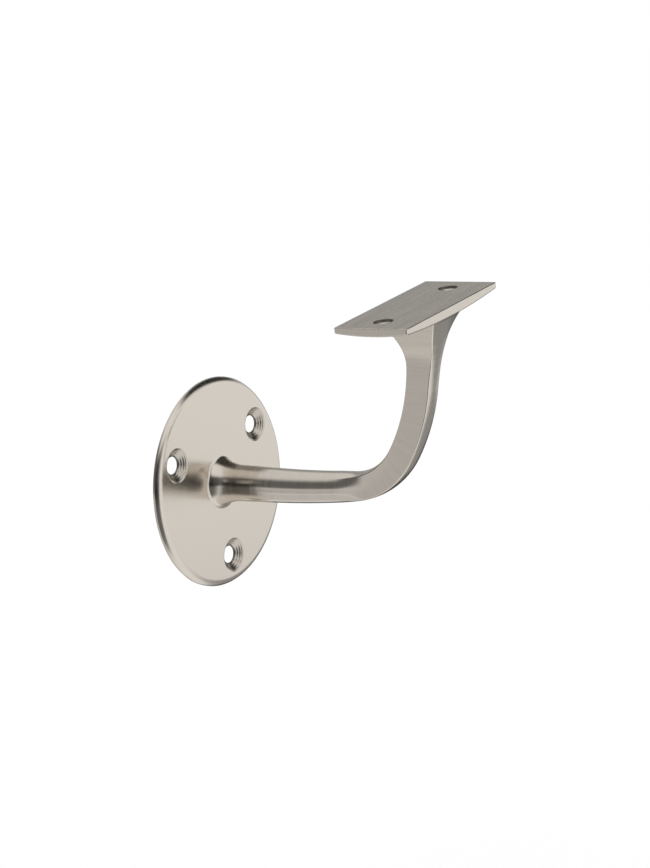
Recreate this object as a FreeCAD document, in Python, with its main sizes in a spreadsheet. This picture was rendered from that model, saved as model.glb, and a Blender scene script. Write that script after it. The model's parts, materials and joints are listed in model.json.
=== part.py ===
"""Handrail bracket: a round wall rose, a tapering arm that bends upwards, and a screw saddle.

One casting.  Frame: +X points out of the wall, +Z up and +Y along the handrail; the origin is
the centre of the rose's back face, which lies against the wall.
"""
import FreeCAD, Part
import math
import os

import Sketcher
from FreeCAD import Placement, Rotation, Vector

doc = FreeCAD.newDocument("handrail_bracket")

# ---------------------------------------------------------------- driving sizes, in mm and degrees
SIZES = {
    # wall rose
    "rose_diameter": 63.0,
    "rose_thickness": 2.2,
    "rose_edge_radius": 2.25,
    "rose_edge_drop": 1.4,
    "rose_screw_circle": 46.7,
    "rose_screw_count": 3,
    "rose_screw_start_angle": 30.0,
    "rose_hole_diameter": 5.2,
    "rose_sink_diameter": 10.0,
    "rose_sink_angle": 100.0,
    # trumpet that carries the arm out of the rose
    "root_radius": 5.45,
    "root_flare_length": 7.5,
    "root_flare_radius": 15.4,
    "root_foot_radius": 0.8,
    # centre line of the arm: straight, slow rise, tight bend, slow curve to vertical
    "projection": 78.5,
    "saddle_height": 56.1,
    "rise_radius": 319.0,
    "rise_angle": 5.15,
    "bend_radius": 24.1,
    "bend_end_angle": 56.5,
    "stem_curve_radius": 62.5,
    # section of the arm
    "waist_radius": 4.65,
    "bend_depth": 4.05,
    "blade_depth": 4.25,
    "blade_outer_width": 3.0,
    "blade_inner_width": 2.4,
    "blade_outer_crown": 0.5,
    "blade_inner_crown": 0.3,
    "blade_side_crown": 0.12,
    "blade_lead": 7.0,
    "blade_run": 13.0,
    # flare that carries the saddle
    "outer_flare_height": 20.0,
    "outer_flare_depth": 5.75,
    "inner_flare_height": 15.0,
    "inner_flare_depth": 5.0,
    "side_flare_width": 4.5,
    # saddle under the handrail
    "saddle_length": 49.3,
    "saddle_width": 23.4,
    "saddle_thickness": 3.35,
    "saddle_arch_radius": 300.0,
    "saddle_end_radius": 1.3,
    "saddle_edge_radius": 0.6,
    "saddle_screw_spacing": 35.0,
    "saddle_hole_diameter": 5.4,
    "saddle_sink_diameter": 9.0,
}

# Sizes that follow from the ones above, as formulas of the same sheet.
DERIVED = {
    "straight_end": "=projection - rise_radius * sin(rise_angle * 1 deg)"
                    " - bend_radius * (sin(bend_end_angle * 1 deg) - sin(rise_angle * 1 deg))"
                    " - stem_curve_radius * (1 - sin(bend_end_angle * 1 deg))",
    "root_end": "=rose_thickness + root_flare_length",
    "saddle_underside": "=saddle_height - saddle_thickness",
    "saddle_sink_face": "=saddle_underside + saddle_arch_radius - sqrt(saddle_arch_radius ^ 2"
                        " - (saddle_screw_spacing / 2 + saddle_sink_diameter / 2) ^ 2)",
}

sheet = doc.addObject("Spreadsheet::Sheet", "Sizes")
for row, (alias, value) in enumerate({**SIZES, **DERIVED}.items(), start=1):
    sheet.set("A%d" % row, alias)
    sheet.set("B%d" % row, str(value))
    sheet.setAlias("B%d" % row, alias)
doc.recompute()


def size(alias):
    """The number that a cell of the sheet holds."""
    return float(sheet.get(alias))


body = doc.addObject("PartDesign::Body", "BracketCasting")
body.Label = "bracket_casting"
body.AllowCompound = True


# ------------------------------------------------------------------------------- sketch helpers
# Arcs run anticlockwise in a sketch, so START and END of an arc follow that sense.
START, END, CENTRE = 1, 2, 3
ORIGIN = (-1, 1)
HORIZONTAL_AXIS, VERTICAL_AXIS = -1, -2


def origin_feature(role):
    """The body's own origin plane or axis of that role."""
    for feature in body.Origin.OriginFeatures:
        if feature.Role == role:
            return feature
    raise ValueError(role)


def new_sketch(name, role, offset=None):
    """A sketch on one of the body's origin planes, moved off it by the offset."""
    sketch = body.newObject("Sketcher::SketchObject", name)
    sketch.AttachmentSupport = [(origin_feature(role), "")]
    sketch.MapMode = "FlatFace"
    if offset is not None:
        sketch.AttachmentOffset = offset
    return sketch


def outline(sketch, edges):
    """Adds the edges in turn and joins each to the next, and the last to the first."""
    first = sketch.GeometryCount
    for edge in edges:
        sketch.addGeometry(edge, False)
    for number in range(len(edges)):
        join(sketch, first + number, first + (number + 1) % len(edges))


def join(sketch, one, other):
    """Makes the ends where two edges meet coincident."""
    for end in (START, END):
        for start in (START, END):
            gap = sketch.getPoint(one, end).distanceToPoint(sketch.getPoint(other, start))
            if gap < 1e-6:
                sketch.addConstraint(Sketcher.Constraint("Coincident", one, end, other, start))
                return
    raise ValueError("edges %d and %d do not meet" % (one, other))


def dimension(sketch, kind, name, references, value, expression):
    """Adds one named dimension with its starting value and ties it to the sheet."""
    index = sketch.addConstraint(Sketcher.Constraint(kind, *references, value))
    sketch.renameConstraint(index, name)
    sketch.setExpression("Constraints." + name, expression)


def volume_changed(before, after, grows, name):
    """Stops when a feature did not add or remove material as it should."""
    if (after > before) != grows:
        raise RuntimeError("%s left %.1f mm3 of %.1f" % (name, after, before))
    print("%-14s %10.1f mm3" % (name, after))


# --------------------------------------------------------------------------------- saddle plate
# The plate comes first, because its arched underside is cut before the arm reaches it.
wall_side = size("projection") - size("saddle_width") / 2
front_side = size("projection") + size("saddle_width") / 2
half_length = size("saddle_length") / 2

saddle_outline = new_sketch("SaddleOutline", "XY_Plane")
saddle_outline.setExpression("AttachmentOffset.Base.z", "Sizes.saddle_height")
near_wall = Vector(wall_side, -half_length)
near_front = Vector(front_side, -half_length)
far_front = Vector(front_side, half_length)
far_wall = Vector(wall_side, half_length)
outline(saddle_outline, [
    Part.LineSegment(near_wall, near_front),
    Part.LineSegment(near_front, far_front),
    Part.LineSegment(far_front, far_wall),
    Part.LineSegment(far_wall, near_wall),
])
saddle_outline.addConstraint(Sketcher.Constraint("Horizontal", 0))
saddle_outline.addConstraint(Sketcher.Constraint("Horizontal", 2))
saddle_outline.addConstraint(Sketcher.Constraint("Vertical", 1))
saddle_outline.addConstraint(Sketcher.Constraint("Symmetric", 3, START, 3, END, HORIZONTAL_AXIS))
dimension(saddle_outline, "DistanceX", "wall_side", (*ORIGIN, 0, START), wall_side,
          "Sizes.projection - Sizes.saddle_width / 2")
dimension(saddle_outline, "DistanceX", "width", (0, START, 0, END), size("saddle_width"),
          "Sizes.saddle_width")
dimension(saddle_outline, "DistanceY", "length", (1, START, 1, END), size("saddle_length"),
          "Sizes.saddle_length")

saddle = body.newObject("PartDesign::Pad", "Saddle")
saddle.Profile = saddle_outline
saddle.Reversed = True
saddle.setExpression("Length", "Sizes.saddle_thickness")
doc.recompute()
print("%-14s %10.1f mm3" % ("saddle", saddle.Shape.Volume))

# Underside: a shallow arch along the rail, so the plate is thickest at the stem.
CLEARANCE = 1.0
underside = size("saddle_underside")
arch_radius = size("saddle_arch_radius")
arch_rise = arch_radius - math.sqrt(arch_radius ** 2 - half_length ** 2)
arch_floor = underside - CLEARANCE

arch_cut = new_sketch("ArchCut", "YZ_Plane")
arch_cut.setExpression("AttachmentOffset.Base.z", "Sizes.projection")
lowest = Vector(0, underside)
near_end = Vector(-half_length, underside + arch_rise)
far_end = Vector(half_length, underside + arch_rise)
outline(arch_cut, [
    Part.Arc(near_end, lowest, far_end),
    Part.LineSegment(far_end, Vector(half_length, arch_floor)),
    Part.LineSegment(Vector(half_length, arch_floor), Vector(-half_length, arch_floor)),
    Part.LineSegment(Vector(-half_length, arch_floor), near_end),
])
arch_cut.addConstraint(Sketcher.Constraint("Vertical", 1))
arch_cut.addConstraint(Sketcher.Constraint("Vertical", 3))
arch_cut.addConstraint(Sketcher.Constraint("Symmetric", 2, START, 2, END, VERTICAL_AXIS))
arch_cut.addConstraint(Sketcher.Constraint("PointOnObject", 0, CENTRE, VERTICAL_AXIS))
dimension(arch_cut, "Radius", "arch_radius", (0,), arch_radius, "Sizes.saddle_arch_radius")
dimension(arch_cut, "DistanceX", "length", (2, END, 2, START), 2 * half_length,
          "Sizes.saddle_length")
dimension(arch_cut, "DistanceY", "floor", (*ORIGIN, 2, START), arch_floor,
          "Sizes.saddle_underside - %s" % CLEARANCE)
dimension(arch_cut, "DistanceY", "centre", (*ORIGIN, 0, CENTRE), underside + arch_radius,
          "Sizes.saddle_underside + Sizes.saddle_arch_radius")

arch = body.newObject("PartDesign::Pocket", "SaddleArch")
arch.Profile = arch_cut
arch.Type = "ThroughAll"
arch.Midplane = True
doc.recompute()
volume_changed(saddle.Shape.Volume, arch.Shape.Volume, False, "saddle arch")


def edges_where(shape, test):
    """Names of the shape's straight edges whose two ends pass the test."""
    names = []
    for number, edge in enumerate(shape.Edges, start=1):
        ends = [vertex.Point for vertex in edge.Vertexes]
        if len(ends) != 2 or abs(ends[0].distanceToPoint(ends[1]) - edge.Length) > 1e-6:
            continue
        if test(*ends):
            names.append("Edge%d" % number)
    return names


def is_top_end(one, other):
    """An edge across the plate's top, at either end."""
    level = min(one.z, other.z) > size("saddle_height") - 1e-6
    return level and abs(one.y - other.y) < 1e-6 < abs(one.x - other.x)


def is_upright(one, other):
    """One of the plate's four upright corners."""
    return math.hypot(one.x - other.x, one.y - other.y) < 1e-6


saddle_ends = body.newObject("PartDesign::Fillet", "SaddleEnds")
saddle_ends.Base = (arch, edges_where(arch.Shape, is_top_end))
saddle_ends.setExpression("Radius", "Sizes.saddle_end_radius")
doc.recompute()
volume_changed(arch.Shape.Volume, saddle_ends.Shape.Volume, False, "saddle ends")

# Each upright corner's fillet runs on along the plate's long top edge.
saddle_edges = body.newObject("PartDesign::Fillet", "SaddleEdges")
saddle_edges.Base = (saddle_ends, edges_where(saddle_ends.Shape, is_upright))
saddle_edges.setExpression("Radius", "Sizes.saddle_edge_radius")
doc.recompute()
volume_changed(saddle_ends.Shape.Volume, saddle_edges.Shape.Volume, False, "saddle edges")

# ------------------------------------------------------------------- rose with the arm's trumpet
thickness = size("rose_thickness")
rose_radius = size("rose_diameter") / 2
edge_radius = size("rose_edge_radius")
edge_drop = size("rose_edge_drop")
edge_turn = math.acos(1 - edge_drop / edge_radius)
root = size("root_radius")
flare = size("root_flare_radius")
flare_length = size("root_flare_length")
root_end = size("root_end")
root_base = root + flare - math.sqrt(flare ** 2 - flare_length ** 2)
half_turn = math.asin(flare_length / flare) / 2

rose_profile = new_sketch("RoseProfile", "XZ_Plane")
back_centre = Vector(0, 0)
back_rim = Vector(0, rose_radius)
front_rim = Vector(thickness - edge_drop, rose_radius)
front_face = Vector(thickness, rose_radius - edge_radius * math.sin(edge_turn))
edge_middle = front_face + Vector(
    edge_radius * (math.cos(edge_turn / 2) - 1), edge_radius * math.sin(edge_turn / 2))
flare_foot = Vector(thickness, root_base)
flare_middle = Vector(root_end - flare * math.sin(half_turn), root + flare * (1 - math.cos(half_turn)))
flare_top = Vector(root_end, root)
flare_axis = Vector(root_end, 0)
outline(rose_profile, [
    Part.LineSegment(back_centre, back_rim),
    Part.LineSegment(back_rim, front_rim),
    Part.Arc(front_rim, edge_middle, front_face),
    Part.LineSegment(front_face, flare_foot),
    Part.Arc(flare_foot, flare_middle, flare_top),
    Part.LineSegment(flare_top, flare_axis),
    Part.LineSegment(flare_axis, back_centre),
])
rose_profile.addConstraint(Sketcher.Constraint("Coincident", 0, START, *ORIGIN))
for number in (0, 3, 5):
    rose_profile.addConstraint(Sketcher.Constraint("Vertical", number))
for number in (1, 6):
    rose_profile.addConstraint(Sketcher.Constraint("Horizontal", number))
rose_profile.addConstraint(Sketcher.Constraint("Horizontal", 2, START, 2, CENTRE))
dimension(rose_profile, "DistanceY", "rose_radius", (*ORIGIN, 0, END), rose_radius,
          "Sizes.rose_diameter / 2")
dimension(rose_profile, "Radius", "edge_radius", (2,), edge_radius, "Sizes.rose_edge_radius")
dimension(rose_profile, "DistanceX", "edge_drop", (2, END, 2, START), edge_drop,
          "Sizes.rose_edge_drop")
dimension(rose_profile, "DistanceX", "thickness", (*ORIGIN, 3, END), thickness,
          "Sizes.rose_thickness")
dimension(rose_profile, "DistanceX", "flare_length", (3, END, 5, START), flare_length,
          "Sizes.root_flare_length")
dimension(rose_profile, "DistanceY", "root_radius", (5, END, 5, START), root, "Sizes.root_radius")
dimension(rose_profile, "Radius", "flare_radius", (4,), flare, "Sizes.root_flare_radius")
rose_profile.addConstraint(Sketcher.Constraint("Vertical", 4, END, 4, CENTRE))

rose = body.newObject("PartDesign::Revolution", "Rose")
rose.Profile = rose_profile
rose.ReferenceAxis = (rose_profile, ["H_Axis"])
rose.Angle = 360.0
doc.recompute()
volume_changed(saddle_edges.Shape.Volume, rose.Shape.Volume, True, "rose")


def is_root_foot(edge):
    """The circle where the trumpet meets the rose's face."""
    box = edge.BoundBox
    flat = box.XLength < 1e-3 and abs(box.XMin - thickness) < 1e-3
    return flat and abs(box.ZMax - root_base) < 1e-3


root_foot = body.newObject("PartDesign::Fillet", "RootFoot")
root_foot.Base = (rose, [
    "Edge%d" % number
    for number, rose_edge in enumerate(rose.Shape.Edges, start=1) if is_root_foot(rose_edge)
])
root_foot.setExpression("Radius", "Sizes.root_foot_radius")
doc.recompute()
volume_changed(rose.Shape.Volume, root_foot.Shape.Volume, True, "root foot")

# ----------------------------------------------------------------------------- arm's centre line
# It lies in the XZ plane: straight out of the rose, a slow rise, a tight bend, then a slow curve
# that ends vertical under the middle of the saddle.
VERTICAL_ANGLE = 90.0
turns = [
    (size("rise_radius"), 0.0, size("rise_angle")),
    (size("bend_radius"), size("rise_angle"), size("bend_end_angle")),
    (size("stem_curve_radius"), size("bend_end_angle"), VERTICAL_ANGLE),
]


def turn_step(radius, start_angle, end_angle):
    """How far an arc of the centre line goes along X and Z."""
    along = radius * (math.sin(math.radians(end_angle)) - math.sin(math.radians(start_angle)))
    up = radius * (math.cos(math.radians(start_angle)) - math.cos(math.radians(end_angle)))
    return Vector(along, 0, up)


straight_end = size("straight_end")


def centre_line(travel):
    """Point and slope of the centre line at a distance along it from the wall."""
    place = Vector(min(travel, straight_end), 0, 0)
    left = travel - place.x
    slope = 0.0
    for radius, start_angle, end_angle in turns:
        full = math.radians(end_angle - start_angle) * radius
        step = min(left, full)
        slope = start_angle + math.degrees(step / radius)
        place = place + turn_step(radius, start_angle, slope)
        left = left - step
        if left <= 0:
            return place, slope
    return place + Vector(0, 0, left), slope


rise_length = math.radians(size("rise_angle")) * size("rise_radius")
bend_start = straight_end + rise_length
bend_length = math.radians(size("bend_end_angle") - size("rise_angle")) * size("bend_radius")
curve_length = math.radians(VERTICAL_ANGLE - size("bend_end_angle")) * size("stem_curve_radius")
curve_end = bend_start + bend_length + curve_length
stem_end = curve_end + underside - centre_line(curve_end)[0].z
blade_start = bend_start - size("blade_lead")


def across(place, slope):
    """Attachment across the centre line: x along the rail, y towards the inside of the bend."""
    return Placement(Vector(0, place.z, place.x), Rotation(Vector(1, 0, 0), -slope))


# ------------------------------------------------------------------- round arm, blade and flares
# Each section has four arcs: an outer one, an inner one and two sides.  As far as the waist they
# make one circle; in the blade the sides are nearly flat and meet the others at a crease.
DIAGONAL = math.sqrt(0.5)
SECTION_STEPS = 24


def mix(*terms):
    """A size that is a weighted sum of cells: its value now and its expression."""
    value = sum(weight * size(alias) for weight, alias in terms)
    expression = " + ".join("%.6f * Sizes.%s" % term for term in terms)
    return value, expression.replace("+ -", "- ")


def blend(share, first, second):
    """Terms that pass from the first list to the second as the share goes from 0 to 1."""
    return [((1 - share) * w, a) for w, a in first] + [(share * w, a) for w, a in second]


def section_sizes(waist, blade, stem, outer_flare, inner_flare):
    """A section's seven sizes, from its shares of waist, blade, stem and the two flares."""
    circle = blend(waist, [(1, "root_radius")], [(1, "waist_radius")])
    corner = [(DIAGONAL * weight, alias) for weight, alias in circle]
    depth = blend(stem, [(1, "bend_depth")], [(1, "blade_depth")])
    outer_corner = depth + [(-1, "blade_outer_crown")]
    inner_corner = depth + [(-1, "blade_inner_crown")]
    side = [(0.5, "blade_outer_width"), (0.5, "blade_inner_width"), (1, "blade_side_crown")]
    outwards = (outer_flare, "outer_flare_depth")
    inwards = (inner_flare, "inner_flare_depth")
    wider = (inner_flare, "side_flare_width")
    return {
        "outer_apex": mix(*blend(blade, circle, depth), outwards),
        "inner_apex": mix(*blend(blade, circle, depth), inwards),
        "outer_corner": mix(*blend(blade, corner, outer_corner), outwards),
        "inner_corner": mix(*blend(blade, corner, inner_corner), inwards),
        "outer_width": mix(*blend(blade, corner, [(1, "blade_outer_width")]), wider),
        "inner_width": mix(*blend(blade, corner, [(1, "blade_inner_width")]), wider),
        "side_width": mix(*blend(blade, circle, side), wider),
    }


def arm_sketch(name, travel, sizes):
    """A section of the arm at a distance along the centre line."""
    sketch = new_sketch(name, "YZ_Plane", across(*centre_line(travel)))
    value = {key: pair[0] for key, pair in sizes.items()}
    outer_apex = Vector(0, -value["outer_apex"])
    inner_apex = Vector(0, value["inner_apex"])
    right_side = Vector(value["side_width"], 0)
    left_side = Vector(-value["side_width"], 0)
    outer_left = Vector(-value["outer_width"], -value["outer_corner"])
    outer_right = Vector(value["outer_width"], -value["outer_corner"])
    inner_right = Vector(value["inner_width"], value["inner_corner"])
    inner_left = Vector(-value["inner_width"], value["inner_corner"])
    outer, right, inner, left = 0, 1, 2, 3
    outline(sketch, [
        Part.Arc(outer_left, outer_apex, outer_right),
        Part.Arc(outer_right, right_side, inner_right),
        Part.Arc(inner_right, inner_apex, inner_left),
        Part.Arc(inner_left, left_side, outer_left),
    ])
    for arc in (outer, inner):
        sketch.addConstraint(Sketcher.Constraint("Symmetric", arc, START, arc, END, VERTICAL_AXIS))
    for arc, point, axis in (
        (outer, outer_apex, VERTICAL_AXIS),
        (right, right_side, HORIZONTAL_AXIS),
        (inner, inner_apex, VERTICAL_AXIS),
        (left, left_side, HORIZONTAL_AXIS),
    ):
        marker = sketch.addGeometry(Part.Point(point), True)
        sketch.addConstraint(Sketcher.Constraint("PointOnObject", marker, START, axis))
        sketch.addConstraint(Sketcher.Constraint("PointOnObject", marker, START, arc))
    outer_mark, right_mark, inner_mark, left_mark = range(4, 8)
    for kind, name, ends, key in (
        ("DistanceY", "outer_apex", (outer_mark, START, *ORIGIN), "outer_apex"),
        ("DistanceX", "right_side", (*ORIGIN, right_mark, START), "side_width"),
        ("DistanceY", "inner_apex", (*ORIGIN, inner_mark, START), "inner_apex"),
        ("DistanceX", "left_side", (left_mark, START, *ORIGIN), "side_width"),
        ("DistanceY", "outer_corner", (outer, END, *ORIGIN), "outer_corner"),
        ("DistanceY", "inner_corner", (*ORIGIN, inner, START), "inner_corner"),
        ("DistanceX", "outer_width", (*ORIGIN, outer, END), "outer_width"),
        ("DistanceX", "inner_width", (*ORIGIN, inner, START), "inner_width"),
    ):
        dimension(sketch, kind, name, ends, *sizes[key])
    return sketch


def smooth(share):
    """A blend from 0 to 1 that starts and ends gently."""
    share = min(max(share, 0.0), 1.0)
    return share * share * (3 - 2 * share)


def flare_share(height, side):
    """Share of one side's flare at a height of the stem, rising as a circle does."""
    full = size(side + "_flare_height")
    spread = size(side + "_flare_depth")
    radius = (full ** 2 + spread ** 2) / (2 * spread)
    above_foot = min(max(height - underside + full, 0.0), full)
    return (radius - math.sqrt(radius ** 2 - above_foot ** 2)) / spread


loft_length = stem_end + CLEARANCE - root_end
arm_sections = []
for number in range(SECTION_STEPS + 1):
    travel = root_end + loft_length * number / SECTION_STEPS
    height = centre_line(travel)[0].z
    sizes = section_sizes(
        min((travel - root_end) / (blade_start - root_end), 1.0),
        smooth((travel - blade_start) / size("blade_run")),
        smooth((travel - bend_start) / (stem_end - bend_start)),
        flare_share(height, "outer"),
        flare_share(height, "inner"))
    arm_sections.append(arm_sketch("ArmSection%02d" % number, travel, sizes))

arm = body.newObject("PartDesign::AdditiveLoft", "Arm")
arm.Profile = arm_sections[0]
arm.Sections = arm_sections[1:]
arm.Ruled = False
doc.recompute()
volume_changed(root_foot.Shape.Volume, arm.Shape.Volume, True, "arm")

# ------------------------------------------------------------------------------- rose's screws
screw_angle = math.radians(size("rose_screw_start_angle"))
screw_circle = size("rose_screw_circle") / 2
rose_screw = new_sketch("RoseScrew", "YZ_Plane")
rose_screw.setExpression("AttachmentOffset.Base.z", "Sizes.rose_thickness")
screw_centre = Vector(screw_circle * math.cos(screw_angle), screw_circle * math.sin(screw_angle))
rose_screw.addGeometry(
    Part.Circle(screw_centre, Vector(0, 0, 1), size("rose_hole_diameter") / 2), False)
dimension(rose_screw, "Diameter", "hole", (0,), size("rose_hole_diameter"),
          "Sizes.rose_hole_diameter")
dimension(rose_screw, "DistanceX", "along", (*ORIGIN, 0, CENTRE), screw_centre.x,
          "Sizes.rose_screw_circle / 2 * cos(Sizes.rose_screw_start_angle * 1 deg)")
dimension(rose_screw, "DistanceY", "up", (*ORIGIN, 0, CENTRE), screw_centre.y,
          "Sizes.rose_screw_circle / 2 * sin(Sizes.rose_screw_start_angle * 1 deg)")
doc.recompute()

rose_hole = body.newObject("PartDesign::Hole", "RoseHole")
rose_hole.Profile = rose_screw
doc.recompute()
rose_hole.DepthType = "ThroughAll"
rose_hole.Threaded = False
rose_hole.HoleCutType = "Countersink"
rose_hole.HoleCutCustomValues = True
rose_hole.setExpression("Diameter", "Sizes.rose_hole_diameter")
rose_hole.setExpression("HoleCutDiameter", "Sizes.rose_sink_diameter")
rose_hole.setExpression("HoleCutCountersinkAngle", "Sizes.rose_sink_angle")
doc.recompute()
volume_changed(arm.Shape.Volume, rose_hole.Shape.Volume, False, "rose hole")

rose_holes = body.newObject("PartDesign::PolarPattern", "RoseHoles")
rose_holes.Originals = [rose_hole]
rose_holes.Axis = (origin_feature("X_Axis"), [""])
rose_holes.Angle = 360.0
rose_holes.setExpression("Occurrences", "Sizes.rose_screw_count")
body.Tip = rose_holes
doc.recompute()
volume_changed(rose_hole.Shape.Volume, rose_holes.Shape.Volume, False, "rose holes")

# ----------------------------------------------------------------------------- saddle's screws
# The screws go up into the handrail, so each hole is sunk from the arched underside.
hole_radius = size("saddle_hole_diameter") / 2
sink_radius = size("saddle_sink_diameter") / 2
sink_face = size("saddle_sink_face")
sink_floor = underside - CLEARANCE
sink_end = sink_face + sink_radius - hole_radius
above = size("saddle_height") + CLEARANCE

saddle_screw = new_sketch("SaddleScrew", "YZ_Plane")
saddle_screw.setExpression("AttachmentOffset.Base.z", "Sizes.projection")
saddle_screw.setExpression("AttachmentOffset.Base.x", "Sizes.saddle_screw_spacing / 2")
outline(saddle_screw, [
    Part.LineSegment(Vector(0, sink_floor), Vector(sink_radius, sink_floor)),
    Part.LineSegment(Vector(sink_radius, sink_floor), Vector(sink_radius, sink_face)),
    Part.LineSegment(Vector(sink_radius, sink_face), Vector(hole_radius, sink_end)),
    Part.LineSegment(Vector(hole_radius, sink_end), Vector(hole_radius, above)),
    Part.LineSegment(Vector(hole_radius, above), Vector(0, above)),
    Part.LineSegment(Vector(0, above), Vector(0, sink_floor)),
])
for number in (0, 4):
    saddle_screw.addConstraint(Sketcher.Constraint("Horizontal", number))
for number in (1, 3):
    saddle_screw.addConstraint(Sketcher.Constraint("Vertical", number))
for number in (0, 5):
    saddle_screw.addConstraint(
        Sketcher.Constraint("PointOnObject", number, START, VERTICAL_AXIS))
dimension(saddle_screw, "DistanceX", "sink_radius", (*ORIGIN, 0, END), sink_radius,
          "Sizes.saddle_sink_diameter / 2")
dimension(saddle_screw, "DistanceX", "hole_radius", (*ORIGIN, 2, END), hole_radius,
          "Sizes.saddle_hole_diameter / 2")
dimension(saddle_screw, "DistanceY", "sink_depth", (2, START, 2, END), sink_radius - hole_radius,
          "(Sizes.saddle_sink_diameter - Sizes.saddle_hole_diameter) / 2")
dimension(saddle_screw, "DistanceY", "sink_face", (*ORIGIN, 2, START), sink_face,
          "Sizes.saddle_sink_face")
dimension(saddle_screw, "DistanceY", "floor", (*ORIGIN, 0, END), sink_floor,
          "Sizes.saddle_underside - %s" % CLEARANCE)
dimension(saddle_screw, "DistanceY", "above", (*ORIGIN, 3, END), above,
          "Sizes.saddle_height + %s" % CLEARANCE)

saddle_hole = body.newObject("PartDesign::Groove", "SaddleHole")
saddle_hole.Profile = saddle_screw
saddle_hole.ReferenceAxis = (saddle_screw, ["V_Axis"])
saddle_hole.Angle = 360.0
doc.recompute()
volume_changed(rose_holes.Shape.Volume, saddle_hole.Shape.Volume, False, "saddle hole")

saddle_holes = body.newObject("PartDesign::Mirrored", "SaddleHoles")
saddle_holes.Originals = [saddle_hole]
saddle_holes.MirrorPlane = (origin_feature("XZ_Plane"), [""])
body.Tip = saddle_holes
doc.recompute()
volume_changed(saddle_hole.Shape.Volume, saddle_holes.Shape.Volume, False, "saddle holes")

# ---------------------------------------------------------------------------- checks and export
failed = [item.Name for item in doc.Objects if {"Invalid", "Error"} & set(item.State)]
if failed:
    raise RuntimeError("failed objects: " + ", ".join(failed))
if body.Shape.isNull() or not body.Shape.isValid() or len(body.Shape.Solids) != 1:
    raise RuntimeError("the casting is not one valid solid")

os.makedirs("parts", exist_ok=True)
body.Shape.exportStep("parts/%s.step" % body.Label)
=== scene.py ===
import json
import math

import bmesh
import bpy
import numpy as np
from mathutils import Matrix, Vector


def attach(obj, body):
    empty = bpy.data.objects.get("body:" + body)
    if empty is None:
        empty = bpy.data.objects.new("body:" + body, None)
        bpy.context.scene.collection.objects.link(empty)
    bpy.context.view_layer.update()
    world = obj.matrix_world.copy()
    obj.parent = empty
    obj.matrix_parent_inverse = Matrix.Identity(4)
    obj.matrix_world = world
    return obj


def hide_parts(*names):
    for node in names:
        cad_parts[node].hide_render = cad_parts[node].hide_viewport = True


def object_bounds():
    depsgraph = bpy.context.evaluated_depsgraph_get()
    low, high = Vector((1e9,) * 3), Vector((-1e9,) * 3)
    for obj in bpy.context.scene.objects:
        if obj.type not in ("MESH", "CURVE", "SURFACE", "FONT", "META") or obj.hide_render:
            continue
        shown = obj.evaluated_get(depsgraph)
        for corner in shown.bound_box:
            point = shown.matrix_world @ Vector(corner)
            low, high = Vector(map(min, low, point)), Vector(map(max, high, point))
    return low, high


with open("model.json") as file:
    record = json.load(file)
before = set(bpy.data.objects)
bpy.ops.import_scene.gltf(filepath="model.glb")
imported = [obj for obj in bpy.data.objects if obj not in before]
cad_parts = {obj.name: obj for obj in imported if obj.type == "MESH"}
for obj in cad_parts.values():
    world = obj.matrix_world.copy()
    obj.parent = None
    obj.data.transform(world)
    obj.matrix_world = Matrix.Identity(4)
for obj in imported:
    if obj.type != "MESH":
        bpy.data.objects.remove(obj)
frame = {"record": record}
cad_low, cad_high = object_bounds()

MM = 0.001
scene = bpy.context.scene
mounts = {mount["name"]: mount for mount in frame["record"]["mounts"]}

# ------------------------------------------------------------------------------------- camera
CAMERA_PLACE = Vector((0.444616, -0.572074, 0.218603))
CAMERA_TARGET = Vector((0.042026, -0.000367, 0.016896))
CAMERA_ROLL = math.radians(-8.1134)
CAMERA_LENS = 104.497


def make_camera():
    """A long lens at the bracket's three-quarter view, rolled a little to the right."""
    data = bpy.data.cameras.new("Camera")
    data.lens = CAMERA_LENS
    data.sensor_width = 36.0
    data.clip_start = 0.01
    data.clip_end = 20.0
    camera = bpy.data.objects.new("Camera", data)
    scene.collection.objects.link(camera)
    scene.camera = camera
    ahead = (CAMERA_TARGET - CAMERA_PLACE).normalized()
    right = ahead.cross(Vector((0, 0, 1))).normalized()
    up = right.cross(ahead)
    cos_roll, sin_roll = math.cos(CAMERA_ROLL), math.sin(CAMERA_ROLL)
    tilted_right = right * cos_roll + up * sin_roll
    tilted_up = up * cos_roll - right * sin_roll
    turn = Matrix((tilted_right, tilted_up, -ahead)).transposed()
    camera.matrix_world = Matrix.Translation(CAMERA_PLACE) @ turn.to_4x4()


make_camera()


# -------------------------------------------------------------------------------- node helpers
class Nodes:
    """Builds a node tree: add() makes a node, sets its inputs and links whatever is a socket."""

    def __init__(self, tree):
        self.tree = tree
        tree.nodes.clear()

    def add(self, kind, inputs=None, **settings):
        node = self.tree.nodes.new(kind)
        for key, value in settings.items():
            setattr(node, key, value)
        for key, value in (inputs or {}).items():
            if isinstance(value, bpy.types.NodeSocket):
                self.tree.links.new(value, node.inputs[key])
            else:
                node.inputs[key].default_value = value
        return node

    def math(self, operation, first, second=0.0, third=None):
        inputs = {0: first, 1: second}
        if third is not None:
            inputs[2] = third
        return self.add("ShaderNodeMath", inputs, operation=operation).outputs[0]

    def rise(self, value, low, high):
        """A smooth step from 0 to 1 as the value goes from low to high."""
        node = self.add("ShaderNodeMapRange", {
            "Value": value, "From Min": low, "From Max": high, "To Min": 0.0, "To Max": 1.0,
        }, interpolation_type="SMOOTHSTEP")
        return node.outputs["Result"]


# ------------------------------------------------------------------------------- world and tent
def make_world():
    """Plain white all round, for the camera, the floor and the metal alike."""
    world = bpy.data.worlds.new("Studio")
    scene.world = world
    world.use_nodes = True
    n = Nodes(world.node_tree)
    white = n.add("ShaderNodeBackground", {"Color": (1, 1, 1, 1), "Strength": 1.0})
    n.add("ShaderNodeOutputWorld", {"Surface": white.outputs[0]})


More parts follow.
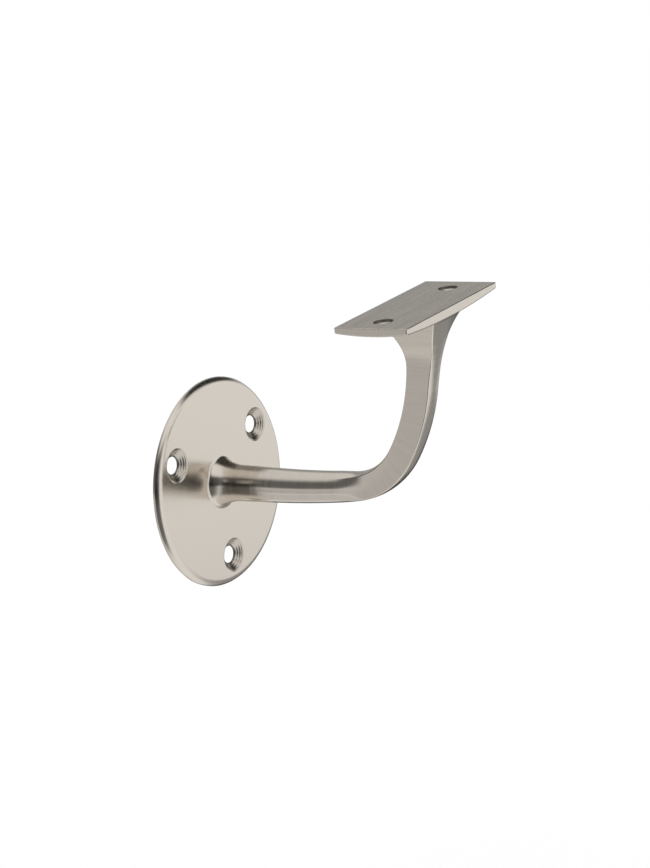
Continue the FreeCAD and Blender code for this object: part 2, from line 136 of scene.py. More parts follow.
# The dark cloths of the tent: how much light each takes away, and the steps in x, y and z of the
# direction from the bracket that bound it.
CLOTHS = [
    # the room in front, round the camera
    (0.85, [("y", 0.05, -0.35), ("z", -0.14, 0.08), ("z", 0.80, 0.56), ("x", 0.85, 0.60)]),
    # lower in front, on the right
    (0.84, [("y", -0.20, -0.50), ("z", -0.92, -0.66), ("z", 0.25, 0.0), ("x", -0.12, 0.12)]),
    # the darkest of the room, on the right
    (0.70, [("x", -0.10, 0.30), ("y", -0.20, -0.50), ("z", -0.20, 0.0), ("z", 0.66, 0.46)]),
    # overhead and behind, on the right
    (0.97, [("x", -0.36, -0.08), ("x", 0.68, 0.48), ("y", 0.12, 0.42), ("z", 0.02, 0.26)]),
    # grey, behind on the left
    (0.62, [("x", 0.10, -0.40), ("y", -0.10, 0.35), ("z", -0.05, 0.12), ("z", 0.66, 0.46)]),
    # darker, straight behind
    (0.80, [("x", 0.10, -0.25), ("y", 0.22, 0.50), ("z", 0.12, -0.10), ("z", -0.92, -0.76)]),
    # grey, in front on the left
    (0.42, [("x", 0.15, -0.35), ("y", 0.0, -0.5), ("z", 0.0, -0.2), ("z", -0.58, -0.42)]),
    # pale grey, lower on the left
    (0.32, [("x", 0.15, -0.35), ("y", 0.3, 0.0), ("z", -0.46, -0.62)]),
    # grey, low behind
    (0.66, [("x", 0.74, 0.46), ("y", 0.30, 0.62), ("z", -0.30, -0.48)]),
    # pale grey, high on the left
    (0.18, [("x", -0.30, -0.50), ("z", 0.50, 0.70)]),
]


TENT_RADIUS = 3.4
TENT_SEGMENTS, TENT_RINGS = 48, 24


def make_tent():
    """A thin round tent hung about the bracket, clear but for its soft-edged dark cloths.

    Only the metal mirrors it: the camera and the floor don't see it, and it casts no shadow.
    """
    bm = bmesh.new()
    bmesh.ops.create_uvsphere(
        bm, u_segments=TENT_SEGMENTS, v_segments=TENT_RINGS, radius=TENT_RADIUS)
    mesh = bpy.data.meshes.new("Tent")
    bm.to_mesh(mesh)
    bm.free()
    tent = bpy.data.objects.new("Tent", mesh)
    tent.location = (cad_low + cad_high) / 2
    scene.collection.objects.link(tent)
    material = bpy.data.materials.new("tent_cloth")
    material.use_nodes = True
    n = Nodes(material.node_tree)
    place = n.add("ShaderNodeTexCoord").outputs["Object"]
    heading = n.add("ShaderNodeVectorMath", {0: place}, operation="NORMALIZE").outputs[0]
    axes = n.add("ShaderNodeSeparateXYZ", {"Vector": heading})
    ways = {"x": axes.outputs["X"], "y": axes.outputs["Y"], "z": axes.outputs["Z"]}
    level = 1.0
    for cut, edges in CLOTHS:
        share = cut
        for axis, low, high in edges:
            share = n.math("MULTIPLY", share, n.rise(ways[axis], low, high))
        level = n.math("MULTIPLY", level, n.math("SUBTRACT", 1.0, share))
    dark = n.add("ShaderNodeBsdfDiffuse", {"Color": (0.0, 0.0, 0.0, 1)})
    clear = n.add("ShaderNodeBsdfTransparent", {"Color": (1, 1, 1, 1)})
    cloth = n.add("ShaderNodeMixShader", {0: level, 1: dark.outputs[0], 2: clear.outputs[0]})
    n.add("ShaderNodeOutputMaterial", {"Surface": cloth.outputs[0]})
    mesh.materials.append(material)
    tent.visible_camera = False
    tent.visible_diffuse = False
    tent.visible_shadow = False


make_world()
make_tent()


# -------------------------------------------------------------------------------- casting, in mm
# What the record holds is read from it.  The rest are the CAD model's sizes, but for what is
# finer here: the rose's back edge, the sink rings, the root's foot, the softened creases, the
# fillet under the saddle, and the saddle's thickness, underside, corners and edges.
PROJECTION = mounts["rail_face"]["pos_m"][0] / MM
SADDLE_HEIGHT = mounts["rail_face"]["pos_m"][2] / MM
WALL_SCREWS = mounts["wall_screws"]["dims"]
RAIL_SCREWS = mounts["rail_screws"]["dims"]

ROSE_RADIUS = (cad_high.y - cad_low.y) / 2 / MM
ROSE_THICKNESS = 2.2
ROSE_EDGE_RADIUS = 2.25
ROSE_EDGE_DROP = 1.4
ROSE_BACK_EDGE = 0.25
ROSE_SCREW_ANGLE = math.radians(30.0)
ROSE_SINK_RADIUS = 5.0
ROSE_SINK_SLOPE = math.tan(math.radians(50.0))
SINK_RINGS = 4
SINK_RING_DEPTH = 0.02

ROOT_RADIUS = 5.45
ROOT_FLARE_LENGTH = 7.5
ROOT_FLARE_RADIUS = 15.4
ROOT_FOOT_RADIUS = 1.3

RISE_RADIUS, RISE_ANGLE = 319.0, math.radians(5.15)
BEND_RADIUS, BEND_ANGLE = 24.1, math.radians(56.5)
STEM_RADIUS, STEM_ANGLE = 62.5, math.radians(90.0)

WAIST_RADIUS = 4.65
BEND_DEPTH, BLADE_DEPTH = 4.05, 4.25
OUTER_WIDTH, INNER_WIDTH = 3.0, 2.4
OUTER_CROWN, INNER_CROWN, SIDE_CROWN = 0.5, 0.3, 0.12
BLADE_LEAD, BLADE_RUN = 7.0, 13.0
OUTER_FLARE_HEIGHT, OUTER_FLARE_DEPTH = 20.0, 5.75
INNER_FLARE_HEIGHT, INNER_FLARE_DEPTH = 15.0, 5.0
SIDE_FLARE_WIDTH = 4.5
CREASE_SOFTNESS = 0.34
SADDLE_FILLET = 1.0
SADDLE_FILLET_CUT = 0.06

SADDLE_HALF_LENGTH = 49.3 / 2
SADDLE_HALF_WIDTH = 23.4 / 2
SADDLE_THICKNESS = 3.6
SADDLE_ARCH_RADIUS = 264.0
SADDLE_CROWN_RADIUS = 95.0
SADDLE_CORNER_RADIUS = 0.5
SADDLE_END_RADIUS = 0.2
SADDLE_SIDE_RADIUS = 0.3
SADDLE_BOTTOM_RADIUS = 0.45
SADDLE_SINK_RADIUS = 4.5

# How finely the skin is cut: points on each side of the arm and how far they crowd to its
# corners, steps round each arc, points round a hole, and the gaps between the arm's rings.
ARC_POINTS = 36
AROUND = 4 * ARC_POINTS
EVEN_SHARE, CROWDED_SHARE = 0.45, 0.55
SOFTENING_SAMPLES = 17
LEAST_SOFTENING = 0.01
BACK_RINGS = (9.0, 18.0, 27.0)
BACK_EDGE_STEPS, RIM_STEPS, FOOT_STEPS, TRUMPET_STEPS = 4, 16, 12, 24
RING_GAP, NEAR_RING_GAP = 0.6, 0.12
CORNER_STEPS, END_STEPS, SIDE_STEPS = 8, 24, 48
TOP_EDGE_STEPS, BOTTOM_EDGE_STEPS = 8, 6
UNDERSIDE_FIRST, UNDERSIDE_LAST, UNDERSIDE_LOOPS = 0.985, 0.02, 30
SINK_RING_STEPS = 4
HOLE_SIDES = 96

# How far below the saddle the rings lie closer and the fillet can start, and how far the arm
# runs on into the saddle.
NEAR_SADDLE, FILLET_REACH, INTO_SADDLE = 4.0, 6.0, 0.8
# A loop this close beside a rounded edge keeps the flat next to it flat.
GUARD = 0.05
TOP_GUARD_X, TOP_GUARD_Y = 0.995, 0.997
# The plate's corners keep at least this radius where their loop is inset.
LEAST_CORNER = 0.02
# Faces this near to the rose's back or face, and outside the trumpet, are brushed as the rose.
FACE_MARGIN = 0.02
TRUMPET_CLEAR = 8.0

# The cutters run past the surfaces they open, and leave a small bevel at each hole's edge.
PAST_BACK, PAST_FACE, PAST_UNDERSIDE, PAST_TOP = 1.0, 0.2, 2.0, 1.0
BORE_BEVEL, BORE_BEVEL_RISE = 0.05, 0.02
SINK_CHAMFER, SINK_SPREAD = 0.2, 0.6
TOP_BEVEL, TOP_BEVEL_DROP, TOP_BEVEL_RISE = 0.15, 0.12, 0.03
# A rose hole takes the bore's painted shade up to this far outside its radius.
SHADED_RIM = 0.35

# Points nearer than this are one; edges sharper than this angle stay crisp.
WELD = 0.002 * MM
SHARP_ANGLE = math.radians(17.0)
FLAT_WEIGHT = 80

DIAGONAL = math.sqrt(0.5)
UNDERSIDE = SADDLE_HEIGHT - SADDLE_THICKNESS


def smooth(share):
    """A blend from 0 to 1 that starts and ends gently."""
    share = min(max(share, 0.0), 1.0)
    return share * share * (3 - 2 * share)


def mix(share, first, second):
    return first + (second - first) * share


TURNS = [
    (RISE_RADIUS, 0.0, RISE_ANGLE),
    (BEND_RADIUS, RISE_ANGLE, BEND_ANGLE),
    (STEM_RADIUS, BEND_ANGLE, STEM_ANGLE),
]


def turn_step(radius, start, end):
    """How far an arc of the centre line goes along x and z."""
    return radius * (math.sin(end) - math.sin(start)), radius * (math.cos(start) - math.cos(end))


STRAIGHT_END = PROJECTION - sum(turn_step(*turn)[0] for turn in TURNS)


def centre_line(travel):
    """x, z and slope of the arm's centre line at a distance along it from the wall."""
    x, z, slope = min(travel, STRAIGHT_END), 0.0, 0.0
    left = travel - x
    for radius, start, end in TURNS:
        step = min(left, radius * (end - start))
        slope = start + step / radius
        along, up = turn_step(radius, start, slope)
        x, z, left = x + along, z + up, left - step
        if left <= 0:
            return x, z, slope
    return x, z + left, slope


ROOT_END = ROSE_THICKNESS + ROOT_FLARE_LENGTH
BEND_START = STRAIGHT_END + RISE_RADIUS * RISE_ANGLE
CURVE_END = (BEND_START + BEND_RADIUS * (BEND_ANGLE - RISE_ANGLE)
             + STEM_RADIUS * (STEM_ANGLE - BEND_ANGLE))
STEM_END = CURVE_END + UNDERSIDE - centre_line(CURVE_END)[1]
BLADE_START = BEND_START - BLADE_LEAD


def flare_share(height, full, spread):
    """Share of a flare at a height of the stem, rising as a circle does."""
    radius = (full ** 2 + spread ** 2) / (2 * spread)
    above_foot = min(max(height - UNDERSIDE + full, 0.0), full)
    return (radius - math.sqrt(radius ** 2 - above_foot ** 2)) / spread


def arc_through(start, middle, end, count):
    """Points along the circle through three points, closer together near its two ends."""
    ax, ay = start
    bx, by = middle
    cx, cy = end
    d = 2 * (ax * (by - cy) + bx * (cy - ay) + cx * (ay - by))
    a2, b2, c2 = ax ** 2 + ay ** 2, bx ** 2 + by ** 2, cx ** 2 + cy ** 2
    ux = (a2 * (by - cy) + b2 * (cy - ay) + c2 * (ay - by)) / d
    uy = (a2 * (cx - bx) + b2 * (ax - cx) + c2 * (bx - ax)) / d
    radius = math.hypot(ax - ux, ay - uy)
    first = math.atan2(ay - uy, ax - ux)
    sweep = (math.atan2(cy - uy, cx - ux) - first) % (2 * math.pi)
    share = np.arange(count) / count
    share = EVEN_SHARE * share + CROWDED_SHARE * (1 - np.cos(math.pi * share)) / 2
    angles = first + sweep * share
    return np.stack([ux + radius * np.cos(angles), uy + radius * np.sin(angles)], axis=1)


def soften(points, reach):
    """Averages a closed outline over a short reach either way, which rounds its corners."""
    count = len(points)
    tiled = np.concatenate([points, points, points, points[:1]])
    steps = np.linalg.norm(np.diff(tiled, axis=0), axis=1)
    length = np.concatenate([[0.0], np.cumsum(steps)])
    offsets = np.linspace(-reach, reach, SOFTENING_SAMPLES)
    at = length[count:2 * count]
    result = np.zeros_like(points)
    for axis in (0, 1):
        samples = np.interp(at[:, None] + offsets[None, :], length, tiled[:, axis])
        result[:, axis] = samples.mean(axis=1)
    return result


def arm_section(travel):
    """Outline of the arm across its centre line: x along the rail, y to the inside of the bend."""
    height = centre_line(travel)[1]
    waist = min(max((travel - ROOT_END) / (BLADE_START - ROOT_END), 0.0), 1.0)
    blade = smooth((travel - BLADE_START) / BLADE_RUN)
    stem = smooth((travel - BEND_START) / (STEM_END - BEND_START))
    outer_flare = flare_share(height, OUTER_FLARE_HEIGHT, OUTER_FLARE_DEPTH)
    inner_flare = flare_share(height, INNER_FLARE_HEIGHT, INNER_FLARE_DEPTH)
    radius = mix(waist, ROOT_RADIUS, WAIST_RADIUS)
    corner = DIAGONAL * radius
    depth = mix(stem, BEND_DEPTH, BLADE_DEPTH)
    outer_spread = outer_flare * OUTER_FLARE_DEPTH
    inner_spread = inner_flare * INNER_FLARE_DEPTH
    side_spread = inner_flare * SIDE_FLARE_WIDTH
    outer_apex = mix(blade, radius, depth) + outer_spread
    inner_apex = mix(blade, radius, depth) + inner_spread
    outer_corner = mix(blade, corner, depth - OUTER_CROWN) + outer_spread
    inner_corner = mix(blade, corner, depth - INNER_CROWN) + inner_spread
    outer_width = mix(blade, corner, OUTER_WIDTH) + side_spread
    inner_width = mix(blade, corner, INNER_WIDTH) + side_spread
    side = mix(blade, radius, (OUTER_WIDTH + INNER_WIDTH) / 2 + SIDE_CROWN) + side_spread
    a, b = (-outer_width, -outer_corner), (outer_width, -outer_corner)
    c, d = (inner_width, inner_corner), (-inner_width, inner_corner)
    points = np.concatenate([
        arc_through(a, (0, -outer_apex), b, ARC_POINTS),
        arc_through(b, (side, 0), c, ARC_POINTS),
        arc_through(c, (0, inner_apex), d, ARC_POINTS),
        arc_through(d, (-side, 0), a, ARC_POINTS),
    ])
    return soften(points, max(CREASE_SOFTNESS * blade, LEAST_SOFTENING))


def underside_height(x, y):
    """Height of the plate's underside at a place measured from the stem's axis."""
    arch = SADDLE_ARCH_RADIUS - np.sqrt(SADDLE_ARCH_RADIUS ** 2 - y ** 2)
    crown = SADDLE_CROWN_RADIUS - np.sqrt(SADDLE_CROWN_RADIUS ** 2 - x ** 2)
    return UNDERSIDE + arch + crown


def fillet_under_saddle(ring):
    """Spreads the flare where it nears the underside, as the casting's inner corner is rounded."""
    inner = ring - np.array([PROJECTION, 0, 0])
    below = underside_height(inner[:, 0], inner[:, 1]) - ring[:, 2] + SADDLE_FILLET_CUT
    near = np.clip(SADDLE_FILLET - below, 0.0, SADDLE_FILLET - SADDLE_FILLET_CUT)
    spread = SADDLE_FILLET - np.sqrt(SADDLE_FILLET ** 2 - near ** 2)
    along = np.roll(ring, -1, axis=0) - np.roll(ring, 1, axis=0)
    outward = np.stack([-along[:, 1], along[:, 0], np.zeros(len(ring))], axis=1)
    outward /= np.linalg.norm(outward, axis=1)[:, None]
    outward *= np.sign((outward * inner).sum(axis=1).mean())
    return ring + outward * spread[:, None]


def arm_ring(travel):
    """The arm's outline set across its centre line, as points of the casting."""
    section = arm_section(travel)
    x, z, slope = centre_line(travel)
    points = np.zeros((AROUND, 3))
    points[:, 0] = x - section[:, 1] * math.sin(slope)
    points[:, 1] = section[:, 0]
    points[:, 2] = z + section[:, 1] * math.cos(slope)
    if travel > STEM_END - FILLET_REACH:
        points = fillet_under_saddle(points)
    return points


def rose_profile():
    """x and radius from the rose's back centre round its rim to the top of the trumpet."""
    profile = [(0.0, radius) for radius in (*BACK_RINGS, ROSE_RADIUS - ROSE_BACK_EDGE - GUARD)]
    for number in range(BACK_EDGE_STEPS + 1):
        angle = math.radians(90.0 * number / BACK_EDGE_STEPS)
        profile.append((ROSE_BACK_EDGE * (1 - math.cos(angle)),
                        ROSE_RADIUS - ROSE_BACK_EDGE * (1 - math.sin(angle))))
    turn = math.acos(1 - ROSE_EDGE_DROP / ROSE_EDGE_RADIUS)
    face_rim = ROSE_RADIUS - ROSE_EDGE_RADIUS * math.sin(turn)
    for number in range(RIM_STEPS + 1):
        angle = turn * (1 - number / RIM_STEPS)
        profile.append((ROSE_THICKNESS - ROSE_EDGE_RADIUS * (1 - math.cos(angle)),
                        face_rim + ROSE_EDGE_RADIUS * math.sin(angle)))
    profile.append((ROSE_THICKNESS, face_rim - GUARD))

    # foot fillet: an arc that touches the face and the trumpet's arc from outside
    centre_x, centre_r = ROOT_END, ROOT_RADIUS + ROOT_FLARE_RADIUS
    foot_x = ROSE_THICKNESS + ROOT_FOOT_RADIUS
    apart = ROOT_FLARE_RADIUS - ROOT_FOOT_RADIUS
    foot_r = centre_r - math.sqrt(apart ** 2 - (centre_x - foot_x) ** 2)
    touch = math.atan2(foot_r - centre_r, foot_x - centre_x)
    profile.append((ROSE_THICKNESS, foot_r + GUARD))
    for number in range(FOOT_STEPS + 1):
        angle = math.pi + (touch + math.pi) * number / FOOT_STEPS
        profile.append((foot_x + ROOT_FOOT_RADIUS * math.cos(angle),
                        foot_r + ROOT_FOOT_RADIUS * math.sin(angle)))
    for number in range(1, TRUMPET_STEPS + 1):
        angle = touch + (-math.pi / 2 - touch) * number / TRUMPET_STEPS
        profile.append((centre_x + ROOT_FLARE_RADIUS * math.cos(angle),
                        centre_r + ROOT_FLARE_RADIUS * math.sin(angle)))
    return profile


def rings_to_mesh(bm, rings, material):
    """Joins rings of points into a closed skin, with one flat face across each end."""
    layers = [[bm.verts.new(Vector(point) * MM) for point in ring] for ring in rings]
    for first, second in zip(layers, layers[1:]):
        count = len(first)
        for number in range(count):
            after = (number + 1) % count
            face = bm.faces.new((first[number], first[after], second[after], second[number]))
            face.material_index = material
    for cap in (layers[0][::-1], layers[-1]):
        bm.faces.new(cap).material_index = material


# The casting's material slots, in the order of LOOKS.
# The last two slots carry painted shade: a light one in the sinks, a deep one in the bores.
CAST, ROSE_FACE, PLATE, TURNED_PAINTED_SHADE, BORE_PAINTED_SHADE = range(5)


def object_from(bm, name):
    """A new object that holds the bmesh, with its faces all facing outwards."""
    bmesh.ops.recalc_face_normals(bm, faces=bm.faces)
    mesh = bpy.data.meshes.new(name)
    bm.to_mesh(mesh)
    bm.free()
    piece = bpy.data.objects.new(name, mesh)
    scene.collection.objects.link(piece)
    return piece


def make_rose_and_arm():
    """Rose, trumpet, round arm, blade and flares as one skin that ends inside the plate."""
    # the rose's rings have their points in line with the arm's
    angles = [math.atan2(y, x) for x, y in arm_section(ROOT_END)]
    rings = [[(x, radius * math.cos(angle), radius * math.sin(angle)) for angle in angles]
             for x, radius in rose_profile()]
    near = STEM_END - NEAR_SADDLE
    travels = [*np.arange(ROOT_END + RING_GAP, near, RING_GAP),
               *np.arange(near, STEM_END + INTO_SADDLE, NEAR_RING_GAP)]
    rings += [arm_ring(travel) for travel in travels]
    bm = bmesh.new()
    rings_to_mesh(bm, rings, CAST)
    for face in bm.faces:
        centre = face.calc_center_median() / MM
        on_back = centre.x < FACE_MARGIN
        on_face = (centre.x < ROSE_THICKNESS + FACE_MARGIN
                   and math.hypot(centre.y, centre.z) > TRUMPET_CLEAR)
        if on_back or on_face:
            face.material_index = ROSE_FACE
    return object_from(bm, "casting")


def plate_outline(inset_end, inset_side):
    """Loop round the plate, in plan from the stem's axis, with rounded corners."""
    points = []
    half_x = SADDLE_HALF_WIDTH - inset_side
    half_y = SADDLE_HALF_LENGTH - inset_end
    corner_x = max(SADDLE_CORNER_RADIUS - inset_side, LEAST_CORNER)
    corner_y = max(SADDLE_CORNER_RADIUS - inset_end, LEAST_CORNER)
    quarters = [(1, 1), (-1, 1), (-1, -1), (1, -1)]
    for quarter, (sx, sy) in enumerate(quarters):
        for number in range(CORNER_STEPS + 1):
            angle = math.radians(90.0 * (quarter + number / CORNER_STEPS))
            points.append((sx * (half_x - corner_x) + corner_x * math.cos(angle),
                           sy * (half_y - corner_y) + corner_y * math.sin(angle)))
        next_sx, next_sy = quarters[(quarter + 1) % 4]
        start = points[-1]
        end_angle = math.radians(90.0 * (quarter + 1))
        end = (next_sx * (half_x - corner_x) + corner_x * math.cos(end_angle),
               next_sy * (half_y - corner_y) + corner_y * math.sin(end_angle))
        steps = END_STEPS if quarter % 2 == 0 else SIDE_STEPS
        for number in range(1, steps):
            share = number / steps
            points.append((mix(share, start[0], end[0]), mix(share, start[1], end[1])))
    return np.array(points)


def plate_loop(outline, heights):
    """An outline of the plate set at its heights, as points of the casting."""
    return np.column_stack([outline[:, 0] + PROJECTION, outline[:, 1], heights])


def corner_share(distance, half):
    """0 along a straight stretch of the plate's edge, rising to 1 over the corner."""
    into_corner = np.abs(distance) - half + SADDLE_CORNER_RADIUS
    return np.clip(into_corner / SADDLE_CORNER_RADIUS, 0.0, 1.0)


def make_plate():
    """The saddle: flat on top, rounded at its edges, arched and crowned underneath."""
    # the top edge's rounding passes from the ends' radius to the sides' radius over the corners
    outer = plate_outline(0.0, 0.0)
    to_end = corner_share(outer[:, 1], SADDLE_HALF_LENGTH)
    to_side = corner_share(outer[:, 0], SADDLE_HALF_WIDTH)
    weight = to_end / np.maximum(to_end + to_side, 1e-6)
    radius = SADDLE_SIDE_RADIUS + (SADDLE_END_RADIUS - SADDLE_SIDE_RADIUS) * weight
    loops = []
    for number in range(TOP_EDGE_STEPS + 1):
        angle = math.radians(90.0 * (1 - number / TOP_EDGE_STEPS))
        outline = plate_outline(SADDLE_END_RADIUS * (1 - math.cos(angle)),
                                SADDLE_SIDE_RADIUS * (1 - math.cos(angle)))
        loops.append(plate_loop(outline, SADDLE_HEIGHT - radius * (1 - math.sin(angle))))
    inner = loops[0].copy()
    inner[:, 0] = PROJECTION + (inner[:, 0] - PROJECTION) * TOP_GUARD_X
    inner[:, 1] *= TOP_GUARD_Y
    loops.insert(0, inner)
    for number in range(BOTTOM_EDGE_STEPS + 1):
        angle = math.radians(90.0 * number / BOTTOM_EDGE_STEPS)
        inset = SADDLE_BOTTOM_RADIUS * (1 - math.cos(angle))
        outline = plate_outline(inset, inset)
        heights = underside_height(outline[:, 0], outline[:, 1])
        heights = heights + SADDLE_BOTTOM_RADIUS * (1 - math.sin(angle))
        loops.append(plate_loop(outline, heights))
    edge = plate_outline(SADDLE_BOTTOM_RADIUS, SADDLE_BOTTOM_RADIUS)
    for share in np.linspace(UNDERSIDE_FIRST, UNDERSIDE_LAST, UNDERSIDE_LOOPS):
        outline = edge * share
        loops.append(plate_loop(outline, underside_height(outline[:, 0], outline[:, 1])))
    bm = bmesh.new()
    rings_to_mesh(bm, loops, PLATE)
    return object_from(bm, "plate")


def turned_cutter(name, profile, place, takes_painted_shade):
    """A closed solid turned from (radius, height) pairs, with its axis moved by the matrix."""
    angles = [2 * math.pi * number / HOLE_SIDES for number in range(HOLE_SIDES)]
    rings = [[(radius * math.cos(angle), radius * math.sin(angle), height) for angle in angles]
             for radius, height in profile]
    bm = bmesh.new()
    # The turned faces take the sinks' light painted shade.
    rings_to_mesh(bm, rings, TURNED_PAINTED_SHADE)
    for face in bm.faces:
        # Faces that the test picks take the bore's deep painted shade.
        if takes_painted_shade(face.calc_center_median() / MM):
            face.material_index = BORE_PAINTED_SHADE
    bm.transform(place)
    return object_from(bm, name)


def make_cutters():
    """Countersunk screw holes: three in the rose, two in the plate from underneath."""
    cutters = []
    hole = WALL_SCREWS["hole_r_mm"]
    circle = WALL_SCREWS["pcd_mm"] / 2
    sink_end = ROSE_THICKNESS - (ROSE_SINK_RADIUS - hole) / ROSE_SINK_SLOPE
    shaded = hole + SHADED_RIM
    profile = [(hole, -PAST_BACK), (hole, sink_end - BORE_BEVEL),
               (hole + BORE_BEVEL, sink_end + BORE_BEVEL_RISE)]
    steps = SINK_RING_STEPS * SINK_RINGS
    for number in range(1, steps - 1):
        share = number / steps
        ridge = SINK_RING_DEPTH * math.sin(math.pi * number / 2)
        profile.append((mix(share, hole, ROSE_SINK_RADIUS) + ridge,
                        mix(share, sink_end, ROSE_THICKNESS) - ridge))
    profile += [(ROSE_SINK_RADIUS + SINK_CHAMFER, ROSE_THICKNESS),
                (ROSE_SINK_RADIUS + SINK_SPREAD, ROSE_THICKNESS + PAST_FACE)]
    turn = Matrix.Rotation(math.radians(90.0), 4, "Y")
    for number in range(WALL_SCREWS["count"]):
        angle = ROSE_SCREW_ANGLE + 2 * math.pi * number / WALL_SCREWS["count"]
        spot = Vector((0, circle * math.cos(angle), circle * math.sin(angle)))
        cutters.append(turned_cutter(
            "rose_cutter_%d" % number, profile, Matrix.Translation(spot * MM) @ turn,
            lambda centre: math.hypot(centre.x, centre.y) < shaded))

    hole = RAIL_SCREWS["hole_r_mm"]
    spread = RAIL_SCREWS["spacing_y_mm"] / 2
    mouth = underside_height(0.0, spread + SADDLE_SINK_RADIUS)
    land = mouth + SADDLE_SINK_RADIUS - hole
    profile = [(SADDLE_SINK_RADIUS, mouth - PAST_UNDERSIDE), (SADDLE_SINK_RADIUS, mouth),
               (hole, land), (hole, SADDLE_HEIGHT - TOP_BEVEL_DROP),
               (hole + TOP_BEVEL, SADDLE_HEIGHT + TOP_BEVEL_RISE),
               (hole + 2 * TOP_BEVEL, SADDLE_HEIGHT + PAST_TOP)]
    for side in (-1, 1):
        place = Matrix.Translation(Vector((PROJECTION, side * spread, 0)) * MM)
        cutters.append(turned_cutter("plate_cutter_%d" % (side + 1), profile, place,
                                     lambda centre: centre.z > land))
    return cutters


def combine(piece, other, operation):
    """Applies one exact boolean and removes the other object."""
    modifier = piece.modifiers.new("combine", "BOOLEAN")
    modifier.object = other
    modifier.operation = operation
    modifier.solver = "EXACT"
    graph = bpy.context.evaluated_depsgraph_get()
    mesh = bpy.data.meshes.new_from_object(piece.evaluated_get(graph))
    piece.modifiers.clear()
    old = piece.data
    piece.data = mesh
    bpy.data.meshes.remove(old)
    bpy.data.objects.remove(other)


def clean_skin(mesh):
    """Welds points that fall together and cuts the many-sided flats into sound triangles."""
    bm = bmesh.new()
    bm.from_mesh(mesh)
    bmesh.ops.remove_doubles(bm, verts=bm.verts, dist=WELD)
    bmesh.ops.dissolve_degenerate(bm, dist=WELD, edges=bm.edges)
    many_sided = [face for face in bm.faces if len(face.verts) > 4]
    bmesh.ops.triangulate(bm, faces=many_sided, quad_method="BEAUTY", ngon_method="BEAUTY")
    bmesh.ops.dissolve_degenerate(bm, dist=WELD, edges=bm.edges)
    bm.to_mesh(mesh)
    bm.free()


def make_casting():
    """The whole casting as one closed skin."""
    piece = make_rose_and_arm()
    materials = [satin_nickel(*look) for look in LOOKS]
    plate = make_plate()
    cutters = make_cutters()
    for item in [piece, plate, *cutters]:
        for material in materials:
            item.data.materials.append(material)
    combine(piece, plate, "UNION")
    for cutter in cutters:
        combine(piece, cutter, "DIFFERENCE")
    mesh = piece.data
    mesh.name = "casting"
    clean_skin(mesh)
    mesh.shade_smooth()
    mesh.set_sharp_from_angle(angle=SHARP_ANGLE)
    flat = piece.modifiers.new("flat_faces_stay_flat", "WEIGHTED_NORMAL")
    flat.keep_sharp = True
    flat.weight = FLAT_WEIGHT
    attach(piece, "root")
    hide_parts("bracket_casting")


# --------------------------------------------------------------------------------------- metal
# How much of each axis is left where the brush lines are read: they run long along an axis of
# which little is left.
PLATE_Y = 0.05
ROSE_X, ROSE_Z = 0.2, 0.08
ARM_X, ARM_Y = 0.03, 0.08


def brush_place(n, place, kind):
    """Where the brush lines of a kind of surface are read."""
    axes = n.add("ShaderNodeSeparateXYZ", {"Vector": place})
    x, y, z = (axes.outputs[key] for key in "XYZ")
    if kind == "plate":
        return n.add("ShaderNodeCombineXYZ", {"X": x, "Y": n.math("MULTIPLY", y, PLATE_Y), "Z": z})
    if kind == "rose":
        return n.add("ShaderNodeCombineXYZ", {
            "X": n.math("MULTIPLY", x, ROSE_X), "Y": y, "Z": n.math("MULTIPLY", z, ROSE_Z)})
    if kind == "turned":
        return n.add("ShaderNodeCombineXYZ", {"X": x, "Y": y, "Z": z})
    # round the arm: a distance along the rod, then round the bend, then up the stem
    centre_x, centre_z = BEND_CENTRE[0] * MM, BEND_CENTRE[1] * MM
    from_x = n.math("SUBTRACT", x, centre_x)
    from_z = n.math("SUBTRACT", centre_z, z)
    angle = n.math("ARCTAN2", from_x, from_z)
    turned = n.math("MINIMUM", n.math("MAXIMUM", angle, 0.0), math.pi / 2)
    rod = n.math("MINIMUM", from_x, 0.0)
    stem = n.math("MINIMUM", from_z, 0.0)
    along = n.math("SUBTRACT", n.math("MULTIPLY_ADD", turned, BEND_RADIUS * MM, rod), stem)
    return n.add("ShaderNodeCombineXYZ", {
        "X": along, "Y": n.math("MULTIPLY", y, ARM_Y), "Z": n.math("MULTIPLY", x, ARM_X)})


# The stretch of the noise that the lines' colour and roughness are spread over.
GRAIN_LOW, GRAIN_HIGH = 0.3, 0.7


def satin_nickel(name, kind, scale, low_roughness, high_roughness, bump_height, tone, contrast):
    """Satin nickel with fine brush lines."""
    material = bpy.data.materials.new(name)
    material.use_nodes = True
    n = Nodes(material.node_tree)
    place = n.add("ShaderNodeTexCoord").outputs["Object"]
    lines = brush_place(n, place, kind).outputs[0]
    grain = n.add("ShaderNodeTexNoise", {
        "Vector": lines, "Scale": scale, "Detail": 3.0, "Roughness": 0.6})
    shade = n.add("ShaderNodeValToRGB", {"Fac": grain.outputs["Fac"]})
    ends = [(GRAIN_LOW, -contrast), (GRAIN_HIGH, contrast)]
    for element, (position, swing) in zip(shade.color_ramp.elements, ends):
        element.position = position
        element.color = (*(channel * tone * (1 + swing) for channel in NICKEL), 1)
    roughness = n.add("ShaderNodeMapRange", {
        "Value": grain.outputs["Fac"], "From Min": GRAIN_LOW, "From Max": GRAIN_HIGH,
        "To Min": low_roughness, "To Max": high_roughness})
    bump = n.add("ShaderNodeBump", {
        "Height": grain.outputs["Fac"], "Strength": 1.0, "Distance": bump_height})
    shader = n.add("ShaderNodeBsdfPrincipled", {
        "Base Color": shade.outputs["Color"],
        "Roughness": roughness.outputs["Result"],
        "Normal": bump.outputs["Normal"],
        "Metallic": 1.0,
    })
    n.add("ShaderNodeOutputMaterial", {"Surface": shader.outputs[0]})
    return material


BEND_CENTRE = (centre_line(BEND_START)[0], centre_line(BEND_START)[1] + BEND_RADIUS)
NICKEL = (0.656, 0.606, 0.540)
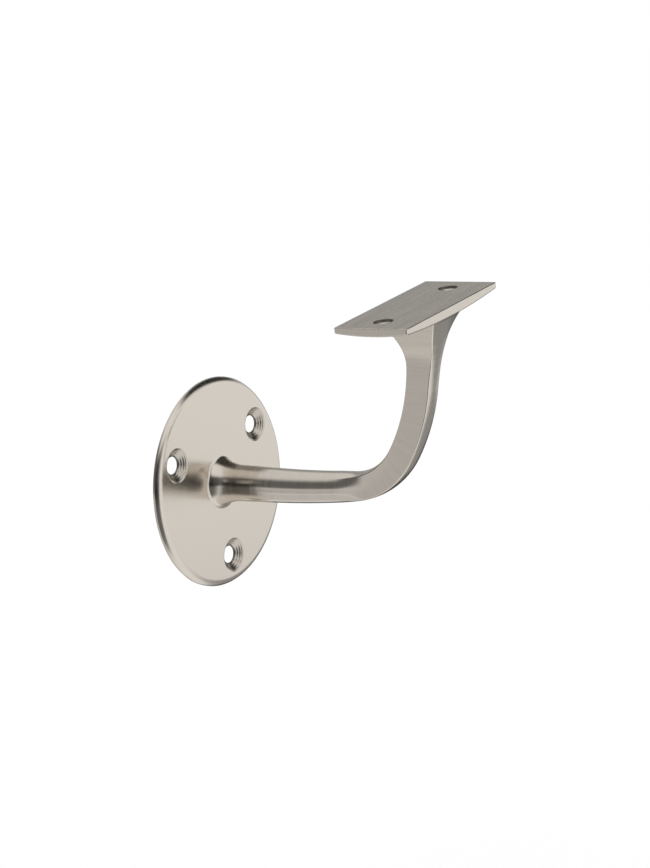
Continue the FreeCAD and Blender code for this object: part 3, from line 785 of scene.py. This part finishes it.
# Name, run of the brush lines, their scale, lowest and highest roughness, height in metres, how
# much of the nickel's colour is left, and how far the lines are lighter and darker than that.
# The sinks and bores are one nickel with the rest; their lower tones here are painted shade, so
# that they read as holes.
LOOKS = [
    ("nickel_cast", "arm", 1300.0, 0.15, 0.23, 2.6e-6, 1.0, 0.034),
    ("nickel_rose", "rose", 2200.0, 0.20, 0.24, 3.0e-7, 1.0, 0.015),
    ("nickel_plate", "plate", 900.0, 0.22, 0.40, 2.0e-6, 0.97, 0.05),
    ("nickel_turned_painted_shade", "turned", 900.0, 0.20, 0.26, 6.0e-7, 0.82, 0.02),
    ("nickel_bore_painted_shade", "turned", 900.0, 0.30, 0.40, 6.0e-7, 0.30, 0.02),
]
make_casting()


# --------------------------------------------------------------------------------------- floor
FLOOR_HALF = 3.0
FLOOR_DROP = 0.10
FLOOR_GREY = 0.9
# A faint glow brings the floor near to the white of the world behind it.
FLOOR_GLOW = 0.115


def make_floor():
    """A plain pale floor well below the bracket, for the bracket's soft shadow.

    The metal doesn't mirror it, and mirrors the white world in its place.
    """
    mesh = bpy.data.meshes.new("Floor")
    level = cad_low.z - FLOOR_DROP
    corners = [(-FLOOR_HALF, -FLOOR_HALF, level), (FLOOR_HALF, -FLOOR_HALF, level),
               (FLOOR_HALF, FLOOR_HALF, level), (-FLOOR_HALF, FLOOR_HALF, level)]
    mesh.from_pydata(corners, [], [(0, 1, 2, 3)])
    floor = bpy.data.objects.new("Floor", mesh)
    scene.collection.objects.link(floor)
    material = bpy.data.materials.new("pale_floor")
    material.use_nodes = True
    n = Nodes(material.node_tree)
    cloth = n.add("ShaderNodeBsdfDiffuse", {"Color": (FLOOR_GREY, FLOOR_GREY, FLOOR_GREY, 1)})
    glow = n.add("ShaderNodeEmission", {"Color": (1, 1, 1, 1), "Strength": FLOOR_GLOW})
    both = n.add("ShaderNodeAddShader", {0: cloth.outputs[0], 1: glow.outputs[0]})
    n.add("ShaderNodeOutputMaterial", {"Surface": both.outputs[0]})
    mesh.materials.append(material)
    floor.visible_glossy = False


make_floor()

scene.view_settings.view_transform = "Standard"
